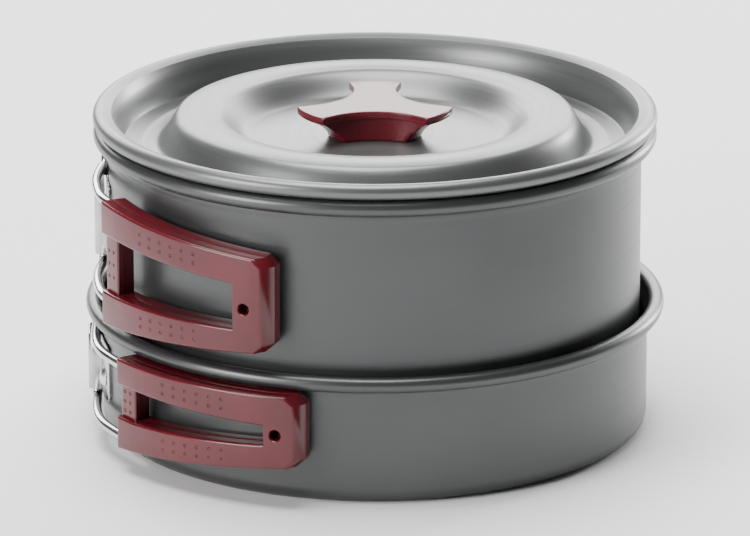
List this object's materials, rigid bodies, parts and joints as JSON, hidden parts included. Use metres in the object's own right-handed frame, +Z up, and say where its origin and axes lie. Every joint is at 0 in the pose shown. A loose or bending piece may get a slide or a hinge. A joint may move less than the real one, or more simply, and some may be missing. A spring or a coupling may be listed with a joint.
{
  "type": "cooking pot set",
  "caption": "Nesting camp cooking set: a deep lidded pot stands in a shallow pan; each vessel has folding wire handles with slotted plastic grips.",
  "frame": {"origin": "centre of the pan's base, on the surface it stands on", "axes": "+Z up along the vessels' axis; the handle brackets are on the -X side and -Y is the front"},
  "size_m": [0.1774, 0.1819, 0.1004],
  "materials": {
    "anodised_pan": "satin",
    "anodised_pot": "satin",
    "anodised_lid": "satin",
    "stainless_bracket": "polished",
    "stainless_wire": "polished",
    "rivet": "polished",
    "grip_plastic": "gloss",
    "knob_plastic": "gloss",
    "insert_brass": "turned",
    "fastener_steel": "plated"
  },
  "bodies": {
    "pan": {"pan_body": "anodised_pan", "pan_bracket": "stainless_bracket", "pan_rivets": "rivet"},
    "pan_front_handle": {"pan_front_wire": "stainless_wire", "pan_front_grip_outer": "grip_plastic", "pan_front_grip_inner": "grip_plastic"},
    "pan_rear_handle": {"pan_rear_wire": "stainless_wire", "pan_rear_grip_outer": "grip_plastic", "pan_rear_grip_inner": "grip_plastic"},
    "pot": {"pot_body": "anodised_pot", "pot_bracket": "stainless_bracket", "pot_rivets": "rivet"},
    "pot_front_handle": {"pot_front_wire": "stainless_wire", "pot_front_grip_outer": "grip_plastic", "pot_front_grip_inner": "grip_plastic"},
    "pot_rear_handle": {"pot_rear_wire": "stainless_wire", "pot_rear_grip_outer": "grip_plastic", "pot_rear_grip_inner": "grip_plastic"},
    "lid": {"lid_plate": "anodised_lid", "knob": "knob_plastic", "knob_insert": "insert_brass", "knob_washer": "fastener_steel", "knob_screw": "fastener_steel"}
  },
  "joints": [
    {"name": "pot_lift", "type": "slide", "parent": "pan", "child": "pot", "axis": [0, 0, 1], "range_m": [0, 0.12]},
    {"name": "lid_lift", "type": "slide", "parent": "pot", "child": "lid", "axis": [0, 0, 1], "range_m": [0, 0.12]},
    {"name": "pan_front_handle_swing", "type": "hinge", "parent": "pan", "child": "pan_front_handle", "pos_m": [-0.08529, -0.00733, 0.0195], "axis": [0, 0, -1], "range_deg": [0, 95]},
    {"name": "pan_rear_handle_swing", "type": "hinge", "parent": "pan", "child": "pan_rear_handle", "pos_m": [-0.0856, 0.00047, 0.0195], "axis": [0, 0, 1], "range_deg": [0, 95]},
    {"name": "pot_front_handle_swing", "type": "hinge", "parent": "pot", "child": "pot_front_handle", "pos_m": [-0.08318, 0.00191, 0.0645], "axis": [0, 0, -1], "range_deg": [0, 95]},
    {"name": "pot_rear_handle_swing", "type": "hinge", "parent": "pot", "child": "pot_rear_handle", "pos_m": [-0.08263, 0.00969, 0.0645], "axis": [0, 0, 1], "range_deg": [0, 95]}
  ]
}
